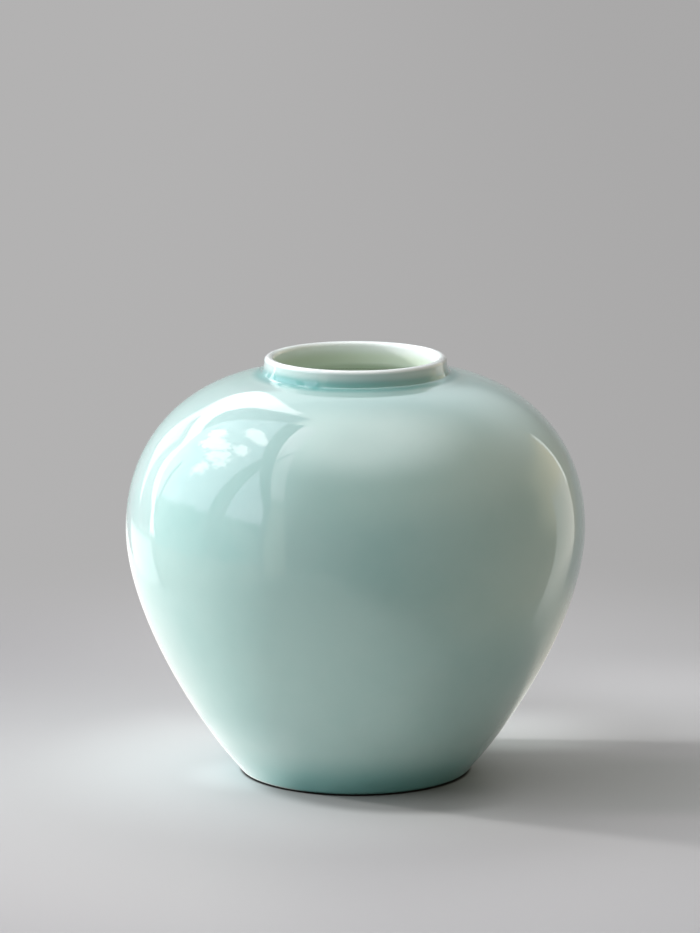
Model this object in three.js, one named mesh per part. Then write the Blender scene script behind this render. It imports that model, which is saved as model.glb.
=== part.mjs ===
// Round-shouldered porcelain vase with a short collar, glazed in pale celadon.
// Millimetres, +Z up. The origin is on the table, at the centre of the foot.
import * as THREE from 'three';

// The clay form, turned on one upright axis
const CLAY_HEIGHT = 199.75;
const BELLY_RADIUS = 108.5;
const BELLY_HEIGHT = 118.3;
const FOOT_OUTER_RADIUS = 53.4;
const COLLAR_HEIGHT = 9.35;
const COLLAR_RADIUS = 42.85;

// How full the curves are: angles from the upright or the level, and the pull along them
const WALL_LEAN_DEG = 44.1;
const WALL_PULL = 27.3;
const BELLY_PULL_BELOW = 41.5;
const BELLY_PULL_ABOVE = 40.0;
const SHOULDER_SLOPE_DEG = 8.1;
const SHOULDER_PULL = 34.2;

// Collar and rolled lip
const LIP_CLAY_THICKNESS = 3.9;
const COLLAR_FLARE = 0.6;
const COLLAR_FILLET = 4.3;
const FILLET_RISE = 2.0;
const NECK_INSIDE_ROUND = 4.6;

// Wall of the thrown clay, thick at the foot as it comes off the wheel
const WALL_AT_FOOT = 5.6;
const WALL_AT_BELLY = 4.0;
const WALL_AT_SHOULDER = 4.4;

// Floor, dished in the middle, and the round corner between it and the wall
const FLOOR_THICKNESS = 6.0;
const FLOOR_DISH = 0.8;
const FLOOR_CORNER_HEIGHT = 16.0;
const FLOOR_CORNER_WIDTH = 18.4;

// The joint at the belly: a tongue in a groove, with the slip left as a low ridge inside
const TONGUE_DEPTH = 1.4;
const TONGUE_WIDTH = 2.0;
const SEAM_RIDGE = 0.8;
const SEAM_RIDGE_REACH = 6.0;

// The joint at the collar: a bevelled flange let into the bevelled opening of the shoulder
const SEAT_RADIUS = 55.0;
const SEAT_BEVEL = 4.0;

// Foot ring, bare at its edge, and the recess that it stands round
const FOOT_RING_HEIGHT = 7.0;
const FOOT_RING_WIDTH = 8.0;
const FOOT_UNDERCUT = 0.7;
const BARE_EDGE = 0.7;
const FOOT_INNER_BEVEL = 0.8;
const RECESS_DRAFT = 1.2;
const RECESS_CROWN = 0.6;

// Outer glaze, thin where it drains off the lip, thick in the collar's angle and at the foot
const GLAZE = 0.6;
const GLAZE_AT_LIP = 0.25;
const GLAZE_POOL = 1.0;
const POOL_REACH = 4.5;
const GLAZE_ROLL = 0.8;
const ROLL_HEIGHT = 1.4;
const ROLL_FADE = 3.0;
const GLAZE_EDGE = 0.15;

// Liner glaze inside, and the glaze in the recess with its skirt down the foot ring
const LINER_GLAZE = 0.5;
const BASE_GLAZE = 0.5;
const BASE_GLAZE_ROUND = 1.5;
const BASE_GLAZE_SKIRT = 3.2;
const SKIRT_TAPER = 1.0;

// Films left between the pieces: the slip in a clay joint, and the bond under a coat
const SLIP_FILM = 0.02;
const GLAZE_BOND = 0.02;

// Fullness of the round corners: how far along each side its pull lies
const FILLET_FULLNESS = 0.6;
const CORNER_FULLNESS_UP = 0.7;
const CORNER_FULLNESS_IN = 0.48;

// Facets round the axis, and steps along each curve of the section
const SEGMENTS = 44;
const STEPS = {
  bowl: 7,
  shoulder: 9,
  fillet: 3,
  quarterLip: 2,
  neck: 3,
  underShoulder: 6,
  insideBowl: 4,
  corner: 3,
};

const porcelain = { color: 0xefeee8, roughness: 0.62, metalness: 0.0 };
const firedEdge = { color: 0x8a5a44, roughness: 0.8, metalness: 0.0 };
const celadon = { color: 0xa3c9c3, roughness: 0.08, metalness: 0.0 };
const liner = { color: 0xb4cfc1, roughness: 0.12, metalness: 0.0 };

const point = (r, z) => new THREE.Vector2(r, z);
const radians = THREE.MathUtils.degToRad;
const mix = THREE.MathUtils.lerp;
const share = (value) => THREE.MathUtils.clamp(value, 0, 1);

// Outline curves of the clay. Each runs up the outside, over the lip or down the inside.
const shoulderTop = point(COLLAR_RADIUS + COLLAR_FLARE + COLLAR_FILLET, CLAY_HEIGHT - COLLAR_HEIGHT);
const lipRadius = LIP_CLAY_THICKNESS / 2;
const lipCentre = point(COLLAR_RADIUS - lipRadius, CLAY_HEIGHT - lipRadius);
const collarFoot = point(COLLAR_RADIUS + COLLAR_FLARE, shoulderTop.y + FILLET_RISE);
const shoulderSlope = point(
  Math.cos(radians(SHOULDER_SLOPE_DEG)),
  -Math.sin(radians(SHOULDER_SLOPE_DEG)),
);
const wallLean = point(Math.sin(radians(WALL_LEAN_DEG)), Math.cos(radians(WALL_LEAN_DEG)));
const belly = point(BELLY_RADIUS, BELLY_HEIGHT);
const glazeLine = point(FOOT_OUTER_RADIUS, BARE_EDGE);

const lowerWall = new THREE.CubicBezierCurve(
  glazeLine,
  glazeLine.clone().addScaledVector(wallLean, WALL_PULL),
  point(BELLY_RADIUS, BELLY_HEIGHT - BELLY_PULL_BELOW),
  belly,
);
const shoulder = new THREE.CubicBezierCurve(
  belly,
  point(BELLY_RADIUS, BELLY_HEIGHT + BELLY_PULL_ABOVE),
  shoulderTop.clone().addScaledVector(shoulderSlope, SHOULDER_PULL),
  shoulderTop,
);
const collarFillet = new THREE.CubicBezierCurve(
  shoulderTop,
  shoulderTop.clone().addScaledVector(shoulderSlope, -COLLAR_FILLET * FILLET_FULLNESS),
  point(collarFoot.x, collarFoot.y - FILLET_RISE * FILLET_FULLNESS),
  collarFoot,
);
const collarWall = new THREE.LineCurve(collarFoot, point(COLLAR_RADIUS, lipCentre.y));
const lipRoll = new THREE.EllipseCurve(lipCentre.x, lipCentre.y, lipRadius, lipRadius, 0, Math.PI);

// A station is a place on the clay's section: a point and the direction that faces away from it.
function station(curve, t) {
  const along = curve.getTangent(t);
  return { at: curve.getPoint(t), out: point(along.y, -along.x) };
}

// The same place on the inside of a wall of the given thickness
function throughWall(place, thickness) {
  return {
    at: place.at.clone().addScaledVector(place.out, -thickness),
    out: place.out.clone().negate(),
  };
}

// How far along a curve a measure of its points, which grows along it, reaches a value
function reach(curve, measure, value) {
  const near = 1e-12;
  let low = 0;
  let high = 1;
  while (high - low > near) {
    const middle = (low + high) / 2;
    if (measure(curve.getPoint(middle)) < value) low = middle;
    else high = middle;
  }
  return (low + high) / 2;
}
const atHeight = (curve, height) => reach(curve, (place) => place.y, height);
const atRadius = (curve, radius) => reach(curve, (place) => -place.x, -radius);

// Evenly spaced places on a curve, with the first left out, because the last run ended there
function run(curve, from, to, steps) {
  const places = [];
  for (let step = 1; step <= steps; step += 1) {
    places.push(station(curve, mix(from, to, step / steps)));
  }
  return places;
}

// Thickness of the clay beside a place on the outside, with the ridge along the belly joint
function wallBeside(place) {
  const { y } = place.at;
  const ridge = SEAM_RIDGE * share(1 - Math.abs(y - BELLY_HEIGHT) / SEAM_RIDGE_REACH);
  if (y < BELLY_HEIGHT) {
    return mix(WALL_AT_FOOT, WALL_AT_BELLY, y / BELLY_HEIGHT) + ridge;
  }
  const rise = (y - BELLY_HEIGHT) / (shoulderTop.y - BELLY_HEIGHT);
  return mix(WALL_AT_BELLY, WALL_AT_SHOULDER, rise) + ridge;
}

const inside = (places) => places.map((place) => throughWall(place, wallBeside(place))).reverse();

// Stretches of the outside, from the bare edge of the foot to the crest of the lip
const footTopT = atHeight(lowerWall, FOOT_RING_HEIGHT);
const footOutside = [
  station(lowerWall, 0),
  station(lowerWall, atHeight(lowerWall, BARE_EDGE + ROLL_HEIGHT)),
  station(lowerWall, footTopT),
];
const bowlOutside = run(lowerWall, footTopT, 1, STEPS.bowl);
const collarSeatT = atRadius(shoulder, SEAT_RADIUS);
const shoulderOutside = run(shoulder, 0, collarSeatT, STEPS.shoulder);
const collarOutside = [
  station(shoulder, 1),
  ...run(collarFillet, 0, 1, STEPS.fillet),
  station(collarWall, 1),
  ...run(lipRoll, 0, 0.5, STEPS.quarterLip),
];

// Stretches of the inside, from the crest of the lip to the middle of the floor
const neckRadius = COLLAR_RADIUS - LIP_CLAY_THICKNESS;
const flangeInside = throughWall(station(shoulder, 1), WALL_AT_SHOULDER);
const neckRoundIn = flangeInside.at.x - neckRadius;
const neckEnd = point(neckRadius, flangeInside.at.y + NECK_INSIDE_ROUND);
const neckRound = new THREE.CubicBezierCurve(
  neckEnd,
  point(neckRadius, neckEnd.y - NECK_INSIDE_ROUND * FILLET_FULLNESS),
  flangeInside.at.clone().addScaledVector(shoulderSlope, -neckRoundIn * FILLET_FULLNESS),
  flangeInside.at,
);
const bevelT = atRadius(shoulder, SEAT_RADIUS - SEAT_BEVEL);
const seatInside = throughWall(station(shoulder, bevelT), WALL_AT_SHOULDER);
const collarInside = [
  ...run(lipRoll, 0.5, 1, STEPS.quarterLip),
  station(neckRound, 0),
  ...run(neckRound, 0, 1, STEPS.neck),
  seatInside,
];
const ridgeAboveT = atHeight(shoulder, BELLY_HEIGHT + SEAM_RIDGE_REACH);
const shoulderInside = [
  ...inside([
    station(shoulder, ridgeAboveT),
    ...run(shoulder, ridgeAboveT, bevelT, STEPS.underShoulder).slice(0, -1),
  ]),
  throughWall(station(shoulder, 0), WALL_AT_BELLY + SEAM_RIDGE),
];
const ridgeBelowT = atHeight(lowerWall, BELLY_HEIGHT - SEAM_RIDGE_REACH);
const floorTop = FOOT_RING_HEIGHT + FLOOR_THICKNESS;
const cornerT = atHeight(lowerWall, floorTop + FLOOR_CORNER_HEIGHT);
const bowlInside = inside([
  station(lowerWall, cornerT),
  ...run(lowerWall, cornerT, ridgeBelowT, STEPS.insideBowl),
]);
const last = (places) => places[places.length - 1];
const cornerTop = last(bowlInside);
const wallDown = point(-cornerTop.out.y, cornerTop.out.x);
const floorEdge = point(cornerTop.at.x - FLOOR_CORNER_WIDTH, floorTop);
const floorCorner = new THREE.CubicBezierCurve(
  cornerTop.at,
  cornerTop.at.clone().addScaledVector(wallDown, FLOOR_CORNER_HEIGHT * CORNER_FULLNESS_UP),
  point(floorEdge.x + FLOOR_CORNER_WIDTH * CORNER_FULLNESS_IN, floorTop),
  floorEdge,
);
const floorInside = [
  ...run(floorCorner, 0, 1, STEPS.corner),
  { at: point(0, floorTop - FLOOR_DISH), out: point(0, 1) },
];

// A closed outline becomes a solid turned round the upright axis.
function turned(name, outline, finish) {
  const geometry = new THREE.LatheGeometry(outline, SEGMENTS);
  geometry.rotateX(Math.PI / 2);
  const mesh = new THREE.Mesh(geometry, new THREE.MeshStandardMaterial(finish));
  mesh.name = name;
  return mesh;
}

const closed = (outline) => [...outline, outline[0]];
const clayOf = (places) => places.map((place) => place.at);
const raised = (place, film) => point(place.x, place.y + film);
const narrowed = (place, film) => point(place.x - film, place.y);

// The foot ring stands on a flat land and carries the bowl on its top.
const recessRadius = FOOT_OUTER_RADIUS - FOOT_RING_WIDTH;
const recessTop = point(recessRadius - RECESS_DRAFT, FOOT_RING_HEIGHT);
const skirtTop = FOOT_RING_HEIGHT - BASE_GLAZE_SKIRT;
const skirtRise = (skirtTop - FOOT_INNER_BEVEL) / (FOOT_RING_HEIGHT - FOOT_INNER_BEVEL);
const skirtEdge = point(mix(recessRadius, recessTop.x, skirtRise), skirtTop);
function footRing() {
  return turned('foot_ring', closed([
    point(recessRadius + FOOT_INNER_BEVEL, 0),
    point(FOOT_OUTER_RADIUS - FOOT_UNDERCUT, 0),
    ...clayOf(footOutside),
    recessTop,
    skirtEdge,
    point(recessRadius, FOOT_INNER_BEVEL),
  ]), firedEdge);
}

// Both halves meet at the belly. The lower half has the groove, the upper half the tongue.
const rimInside = last(shoulderInside).at;
const rimMiddle = (belly.x + rimInside.x) / 2;
const beltJoint = [
  belly,
  point(rimMiddle + TONGUE_WIDTH / 2, BELLY_HEIGHT),
  point(rimMiddle, BELLY_HEIGHT - TONGUE_DEPTH),
  point(rimMiddle - TONGUE_WIDTH / 2, BELLY_HEIGHT),
  rimInside,
];
const recessCrown = point(0, FOOT_RING_HEIGHT + RECESS_CROWN);
function lowerBody() {
  return turned('lower_body', [
    recessCrown,
    raised(recessTop, SLIP_FILM),
    raised(last(footOutside).at, SLIP_FILM),
    ...clayOf(bowlOutside).slice(0, -1),
    ...beltJoint,
    ...clayOf(bowlInside),
    ...clayOf(floorInside),
  ], porcelain);
}
function upperBody() {
  return turned('upper_body', closed([
    ...beltJoint.map((place) => raised(place, SLIP_FILM)).reverse(),
    ...clayOf(shoulderOutside),
    seatInside.at,
    ...clayOf(shoulderInside).slice(0, -1),
  ]), porcelain);
}

// The collar has a rolled lip above and a bevelled flange below, which sits in the shoulder.
function neckCollar() {
  return turned('neck_collar', closed([
    narrowed(last(shoulderOutside).at, SLIP_FILM),
    ...clayOf(collarOutside),
    ...clayOf(collarInside.slice(0, -1)),
    narrowed(seatInside.at, SLIP_FILM),
  ]), porcelain);
}

// A coat lies over the clay with its own thickness at each place, on a thin bond.
const coatOver = (places, thickness) => places.map(
  (place) => place.at.clone().addScaledVector(place.out, thickness(place)),
);
const underCoat = (places) => coatOver(places, () => GLAZE_BOND).reverse();

// The outer glaze swells into a roll above the bare edge, gathers where the collar meets the
// shoulder and drains thin towards the crest.
const poolCentre = collarFillet.getPoint(2 / 3);
function outerThickness({ at }) {
  const aboveEdge = at.y - glazeLine.y;
  const drained = share((at.y - collarFoot.y) / (CLAY_HEIGHT - collarFoot.y));
  const pooled = share(1 - at.distanceTo(poolCentre) / POOL_REACH);
  const rolled = share(1 - (aboveEdge - ROLL_HEIGHT) / ROLL_FADE);
  const settled = mix(GLAZE, GLAZE_AT_LIP, drained)
    + pooled * (GLAZE_POOL - GLAZE)
    + rolled * (GLAZE_ROLL - GLAZE);
  return mix(GLAZE_EDGE, settled, share(aboveEdge / ROLL_HEIGHT));
}
function outerGlaze() {
  const places = [...footOutside, ...bowlOutside, ...shoulderOutside, ...collarOutside];
  const skin = coatOver(places, outerThickness);
  return turned('outer_glaze', closed([...skin, ...underCoat(places)]), celadon);
}

// The liner glaze was poured in and out: it covers the inside from the crest to the floor.
function linerThickness({ at }) {
  return mix(LINER_GLAZE, GLAZE_AT_LIP, share((at.y - lipCentre.y) / lipRadius));
}
function innerGlaze() {
  const crest = last(collarOutside);
  const places = [crest, ...collarInside, ...shoulderInside, ...bowlInside, ...floorInside];
  const skin = coatOver(places, linerThickness);
  return turned('inner_glaze', [...underCoat(places), ...skin], liner);
}

// Glaze over the recess under the floor, with a skirt a little way down the foot ring
function baseGlaze() {
  return turned('base_glaze', [
    point(0, recessCrown.y - BASE_GLAZE),
    point(recessTop.x - BASE_GLAZE_ROUND, recessTop.y - BASE_GLAZE),
    point(skirtEdge.x - BASE_GLAZE, skirtEdge.y + SKIRT_TAPER),
    narrowed(skirtEdge, GLAZE_BOND),
    point(recessTop.x - GLAZE_BOND, recessTop.y - GLAZE_BOND),
    point(0, recessCrown.y - GLAZE_BOND),
  ], celadon);
}

const vase = new THREE.Group();
vase.name = 'celadon_vase';
vase.add(footRing());
vase.add(lowerBody());
vase.add(upperBody());
vase.add(neckCollar());
vase.add(outerGlaze());
vase.add(innerGlaze());
vase.add(baseGlaze());

export default vase;
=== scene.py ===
# Celadon vase on a pale table, lit from the left.
import math

import bpy
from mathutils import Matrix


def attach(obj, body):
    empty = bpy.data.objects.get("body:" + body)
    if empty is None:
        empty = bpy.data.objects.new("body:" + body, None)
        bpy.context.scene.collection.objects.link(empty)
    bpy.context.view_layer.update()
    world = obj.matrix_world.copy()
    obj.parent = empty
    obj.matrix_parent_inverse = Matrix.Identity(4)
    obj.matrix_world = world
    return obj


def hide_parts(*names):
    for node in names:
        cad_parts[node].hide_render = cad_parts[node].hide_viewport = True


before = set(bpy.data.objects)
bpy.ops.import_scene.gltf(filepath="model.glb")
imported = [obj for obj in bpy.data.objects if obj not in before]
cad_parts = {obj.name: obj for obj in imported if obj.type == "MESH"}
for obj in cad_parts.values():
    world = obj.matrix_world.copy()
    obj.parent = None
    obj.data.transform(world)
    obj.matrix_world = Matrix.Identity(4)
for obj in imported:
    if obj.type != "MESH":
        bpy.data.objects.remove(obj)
bpy.ops.object.select_all(action="DESELECT")
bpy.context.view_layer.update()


# Foot ring: a low ring of porcelain, turned from the base when leather-hard.
# Its edge is wiped clean of glaze, so the fire has flashed the bare clay reddish brown, here darkened to
# near black as painted shade for the dark line where the foot meets the table.
MM_PER_M = 1000
FACETS = 192
WALL_STEPS = 64
MERGE_REACH = 0.000002
CREASE = math.radians(40)
FOOT_RADIUS = 53.4
FOOT_WIDTH = 8.0
FOOT_HEIGHT = 7.0
BARE_EDGE = 0.7
UNDERCUT = 0.7
INNER_BEVEL = 0.8
BEVEL_ROUND = 0.25
EDGE_ROUND = 0.5
EDGE_TURN = ((1, 0), (0.3, 0.1), (0, 0.4))
RECESS_DRAFT = 1.2
SKIRT = 3.2
SLIP = 0.02
BELLY_RADIUS = 108.5
BELLY_HEIGHT = 118.3
WALL_LEAN = math.radians(44.1)
WALL_PULL = 27.3
BELLY_PULL_BELOW = 41.5
# Foot tones: flashed clay darkened to near black, partly the clay's own colour and partly painted shade.
FOOT_PALE_IN_PAINTED_SHADE = (0.08, 0.045, 0.03)
FOOT_FLASHED_IN_PAINTED_SHADE = (0.04, 0.024, 0.017)
FOOT_RELIEF = 0.5
GRAIN_HEIGHT = 0.0003
SPECK_TONE = (0.16, 0.1, 0.07)
SPECK_SHARE = 0.35


def bezier(start, pull, draw, end, steps):
    """Points along a curve that leaves start towards pull and meets end from draw."""
    line = []
    for step in range(steps + 1):
        t = step / steps
        u = 1 - t
        weights = (u**3, 3 * u * u * t, 3 * u * t * t, t**3)
        knots = (start, pull, draw, end)
        line.append(tuple(sum(w * k[axis] for w, k in zip(weights, knots)) for axis in (0, 1)))
    return line


def above(line, height):
    """The part of a rising line above a height, with a point put in just there."""
    for index, (low, high) in enumerate(zip(line, line[1:])):
        if low[1] <= height < high[1]:
            share = (height - low[1]) / (high[1] - low[1])
            cut = (low[0] + share * (high[0] - low[0]), height)
            return [cut] + line[index + 1:]
    return line


def below(line, height):
    """The part of a rising line up to a height."""
    cut = above(line, height)[0]
    return [place for place in line if place[1] < height] + [cut]


def thrown(name, section):
    """Draws half of a section point by point, in millimetres, and spins it on the upright axis."""
    bpy.ops.mesh.primitive_plane_add(size=0.01, location=(0, 0, 0))
    piece = bpy.context.object
    piece.name = piece.data.name = name
    bpy.ops.object.mode_set(mode="EDIT")
    bpy.ops.mesh.merge(type="CENTER")
    bpy.ops.transform.translate(value=(section[0][0] / MM_PER_M, 0, section[0][1] / MM_PER_M))
    for here, there in zip(section, section[1:]):
        step = ((there[0] - here[0]) / MM_PER_M, 0, (there[1] - here[1]) / MM_PER_M)
        bpy.ops.mesh.extrude_region_move(TRANSFORM_OT_translate={"value": step})
    bpy.ops.mesh.select_all(action="SELECT")
    bpy.ops.mesh.spin(steps=FACETS, angle=math.tau, center=(0, 0, 0), axis=(0, 0, 1))
    bpy.ops.mesh.select_all(action="SELECT")
    bpy.ops.mesh.remove_doubles(threshold=MERGE_REACH)
    bpy.ops.mesh.normals_make_consistent(inside=False)
    bpy.ops.object.mode_set(mode="OBJECT")
    bpy.ops.object.shade_smooth_by_angle(angle=CREASE)
    piece.select_set(False)
    return piece


def place_in(piece, node):
    """Puts a turned piece in the stead of its plain solid."""
    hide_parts(node)
    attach(piece, "root")


lower_wall = bezier(
    (FOOT_RADIUS, BARE_EDGE),
    (FOOT_RADIUS + WALL_PULL * math.sin(WALL_LEAN), BARE_EDGE + WALL_PULL * math.cos(WALL_LEAN)),
    (BELLY_RADIUS, BELLY_HEIGHT - BELLY_PULL_BELOW),
    (BELLY_RADIUS, BELLY_HEIGHT),
    WALL_STEPS,
)
recess_edge = FOOT_RADIUS - FOOT_WIDTH
recess_top = recess_edge - RECESS_DRAFT
skirt_share = (FOOT_HEIGHT - SKIRT - INNER_BEVEL) / (FOOT_HEIGHT - INNER_BEVEL)
skirt_edge = (recess_edge - RECESS_DRAFT * skirt_share, FOOT_HEIGHT - SKIRT)
land_edge = FOOT_RADIUS - UNDERCUT
foot_ring = thrown("foot_ring_turned", [
    (recess_edge + INNER_BEVEL, 0),
    (recess_edge + INNER_BEVEL * 2, 0),
    *[(land_edge - EDGE_ROUND * inward, EDGE_ROUND * upward) for inward, upward in EDGE_TURN],
    *below(lower_wall, FOOT_HEIGHT),
    (recess_top, FOOT_HEIGHT),
    skirt_edge,
    (recess_edge, INNER_BEVEL),
    (recess_edge + BEVEL_ROUND, BEVEL_ROUND),
    (recess_edge + INNER_BEVEL, 0),
])


def add_node(tree, kind, settings=None, **sockets):
    """Adds a shader node. Its sockets take a number, a colour or another node's output."""
    node = tree.nodes.new(kind)
    for setting, value in (settings or {}).items():
        setattr(node, setting, value)
    for label, value in sockets.items():
        by_number = label[0] == "i" and label[1:].isdigit()
        socket = node.inputs[int(label[1:]) if by_number else label.replace("_", " ")]
        if isinstance(value, bpy.types.NodeSocket):
            tree.links.new(value, socket)
        else:
            socket.default_value = value
    return node


def reckon(tree, operation, *values):
    """Adds a Math node and gives back its result."""
    sockets = {f"i{index}": value for index, value in enumerate(values)}
    return add_node(tree, "ShaderNodeMath", {"operation": operation}, **sockets).outputs[0]


def fade(tree, value, start, end):
    """A smooth step, 0 at start and 1 at end."""
    node = add_node(
        tree, "ShaderNodeMapRange", {"interpolation_type": "SMOOTHSTEP"},
        Value=value, From_Min=start, From_Max=end,
    )
    return node.outputs["Result"]


def blend(tree, share, first, second):
    """Mixes two colours and gives back the result."""
    node = add_node(tree, "ShaderNodeMix", {"data_type": "RGBA"}, Factor=share)
    for socket, value in zip((node.inputs[6], node.inputs[7]), (first, second)):
        if isinstance(value, bpy.types.NodeSocket):
            tree.links.new(value, socket)
        else:
            socket.default_value = (*value, 1)
    return node.outputs[2]


def new_material(name):
    """A material with a Principled BSDF. Gives back the material, its tree and the shader."""
    material = bpy.data.materials.new(name)
    material.use_nodes = True
    tree = material.node_tree
    return material, tree, tree.nodes["Principled BSDF"]


# Clay grain, for every piece of porcelain: fine sand in the body and a slow change of tone
clay_grain = bpy.data.node_groups.new("clay_grain", "ShaderNodeTree")
for label in ("Pale", "Flashed"):
    clay_grain.interface.new_socket(label, in_out="INPUT", socket_type="NodeSocketColor")
clay_grain.interface.new_socket("Tone", in_out="OUTPUT", socket_type="NodeSocketColor")
clay_grain.interface.new_socket("Roughness", in_out="OUTPUT", socket_type="NodeSocketFloat")
clay_grain.interface.new_socket("Height", in_out="OUTPUT", socket_type="NodeSocketFloat")
clay_in = clay_grain.nodes.new("NodeGroupInput")
clay_out = clay_grain.nodes.new("NodeGroupOutput")
clay_place = clay_grain.nodes.new("ShaderNodeTexCoord").outputs["Object"]
clay_sand = add_node(clay_grain, "ShaderNodeTexNoise", Vector=clay_place, Scale=1900.0, Detail=3.0)
clay_flash = add_node(clay_grain, "ShaderNodeTexNoise", Vector=clay_place, Scale=42.0, Detail=4.0)
clay_share = fade(clay_grain, clay_flash.outputs["Fac"], 0.32, 0.66)
clay_tone = blend(clay_grain, clay_share, clay_in.outputs["Pale"], clay_in.outputs["Flashed"])
clay_speck = fade(clay_grain, clay_sand.outputs["Fac"], 0.62, 0.74)
clay_speck = reckon(clay_grain, "MULTIPLY", clay_speck, SPECK_SHARE)
clay_dark = blend(clay_grain, clay_speck, clay_tone, SPECK_TONE)
clay_grain.links.new(clay_dark, clay_out.inputs["Tone"])
clay_rough = reckon(clay_grain, "MULTIPLY_ADD", clay_sand.outputs["Fac"], 0.3, 0.55)
clay_grain.links.new(clay_rough, clay_out.inputs["Roughness"])
clay_grain.links.new(clay_sand.outputs["Fac"], clay_out.inputs["Height"])


def clay_finish(name, pale, flashed, relief):
    """A bare clay material, built on the clay grain."""
    material, tree, shader = new_material(name)
    grain = tree.nodes.new("ShaderNodeGroup")
    grain.node_tree = clay_grain
    grain.inputs["Pale"].default_value = (*pale, 1)
    grain.inputs["Flashed"].default_value = (*flashed, 1)
    tree.links.new(grain.outputs["Tone"], shader.inputs["Base Color"])
    tree.links.new(grain.outputs["Roughness"], shader.inputs["Roughness"])
    bump = add_node(
        tree, "ShaderNodeBump",
        Strength=relief, Distance=GRAIN_HEIGHT, Height=grain.outputs["Height"],
    )
    tree.links.new(bump.outputs["Normal"], shader.inputs["Normal"])
    return material


foot_ring.data.materials.append(clay_finish("fired_foot", FOOT_PALE_IN_PAINTED_SHADE, FOOT_FLASHED_IN_PAINTED_SHADE, FOOT_RELIEF))
place_in(foot_ring, "foot_ring")


# Lower body: a thrown bowl with the floor of the vase, thick where the wheel head held it.
# Its rim has a groove for the tongue of the upper body, set with slip.
WALL_AT_FOOT = 5.6
WALL_AT_BELLY = 4.0
FLOOR_THICKNESS = 6.0
FLOOR_DISH = 0.8
CORNER_HEIGHT = 16.0
CORNER_WIDTH = 18.4
CORNER_TOP = 0.8
CORNER_PULL_UP = 0.7
CORNER_PULL_IN = 0.55
CORNER_STEPS = 14
FLOOR_PULL_OUT = 0.7
FLOOR_PULL_IN = 0.3
FLOOR_STEPS = 12
TONGUE_DEPTH = 1.4
TONGUE_WIDTH = 2.0
SEAM_RIDGE = 0.8
SEAM_REACH = 6.0
RECESS_CROWN = 0.6
RING_PITCH = 8.5
RING_DEPTH = 0.22
PORCELAIN_PALE = (0.86, 0.85, 0.81)
PORCELAIN_FLASHED = (0.8, 0.78, 0.72)
PORCELAIN_RELIEF = 0.25


def facing(line):
    """The direction that each point of a line faces, to the right of its travel."""
    ends = zip(line[:1] + line[:-1], line[1:] + line[-1:])
    turns = []
    for here, there in ends:
        across, along = there[1] - here[1], here[0] - there[0]
        length = math.hypot(across, along)
        turns.append((across / length, along / length))
    return turns


def moved(line, depth):
    """A line moved the way it faces. The depth is a number, or a rule that takes a point."""
    rule = depth if callable(depth) else lambda place: depth
    return [
        (place[0] + rule(place) * turn[0], place[1] + rule(place) * turn[1])
        for place, turn in zip(line, facing(line))
    ]


def throwing_rings(height):
    """Depth of the potter's finger marks on the inside at a height."""
    return RING_DEPTH * math.sin(math.tau * height / RING_PITCH)


def bowl_wall(place):
    """Thickness of the bowl beside a point of its outside, as a move inwards."""
    height = place[1]
    ridge = SEAM_RIDGE * max(0, 1 - abs(height - BELLY_HEIGHT) / SEAM_REACH)
    share = height / BELLY_HEIGHT
    return -(WALL_AT_FOOT + share * (WALL_AT_BELLY - WALL_AT_FOOT) + ridge + throwing_rings(height))


floor_top = FOOT_HEIGHT + FLOOR_THICKNESS
bowl_outside = above(lower_wall, FOOT_HEIGHT)
bowl_inside = moved(lower_wall, bowl_wall)[::-1]
bowl_inside = [place for place in bowl_inside if place[1] > floor_top + CORNER_HEIGHT * CORNER_TOP]
bowl_inside[0] = (BELLY_RADIUS - WALL_AT_BELLY - SEAM_RIDGE, BELLY_HEIGHT)
corner_top = bowl_inside[-1]
corner_lean = facing(bowl_inside)[-1]
floor_edge = corner_top[0] - CORNER_WIDTH
bowl_floor = bezier(
    corner_top,
    (corner_top[0] + corner_lean[1] * CORNER_HEIGHT * CORNER_PULL_UP,
     corner_top[1] - abs(corner_lean[0]) * CORNER_HEIGHT * CORNER_PULL_UP),
    (floor_edge + CORNER_HEIGHT * CORNER_PULL_IN, floor_top),
    (floor_edge, floor_top),
    CORNER_STEPS,
)[1:]
bowl_floor += bezier(
    (floor_edge, floor_top),
    (floor_edge * FLOOR_PULL_OUT, floor_top),
    (floor_edge * FLOOR_PULL_IN, floor_top - FLOOR_DISH),
    (0, floor_top - FLOOR_DISH),
    FLOOR_STEPS,
)[1:]
rim_middle = BELLY_RADIUS - (WALL_AT_BELLY + SEAM_RIDGE) / 2
belt_joint = [
    (rim_middle + TONGUE_WIDTH / 2, BELLY_HEIGHT),
    (rim_middle, BELLY_HEIGHT - TONGUE_DEPTH),
    (rim_middle - TONGUE_WIDTH / 2, BELLY_HEIGHT),
]
lower_body = thrown("lower_body_thrown", [
    (0, FOOT_HEIGHT + RECESS_CROWN),
    (recess_top, FOOT_HEIGHT + SLIP),
    (bowl_outside[0][0], FOOT_HEIGHT + SLIP),
    *bowl_outside[1:],
    *belt_joint,
    *bowl_inside,
    *bowl_floor,
])
porcelain = clay_finish("white_porcelain", PORCELAIN_PALE, PORCELAIN_FLASHED, PORCELAIN_RELIEF)
lower_body.data.materials.append(porcelain)
place_in(lower_body, "lower_body")


# Upper body: a second thrown bowl, turned over on the first and joined at the widest line.
# Its mouth is bevelled to take the flange of the collar.
CLAY_HEIGHT = 199.75
COLLAR_HEIGHT = 9.35
COLLAR_RADIUS = 42.85
COLLAR_FLARE = 0.6
COLLAR_FILLET = 4.3
FILLET_RISE = 2.0
BELLY_PULL_ABOVE = 40.0
SHOULDER_SLOPE = math.radians(8.1)
SHOULDER_PULL = 34.2
WALL_AT_SHOULDER = 4.4
SEAT_RADIUS = 55.0
SEAT_BEVEL = 4.0
LEAST_STEP = 0.1


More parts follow.
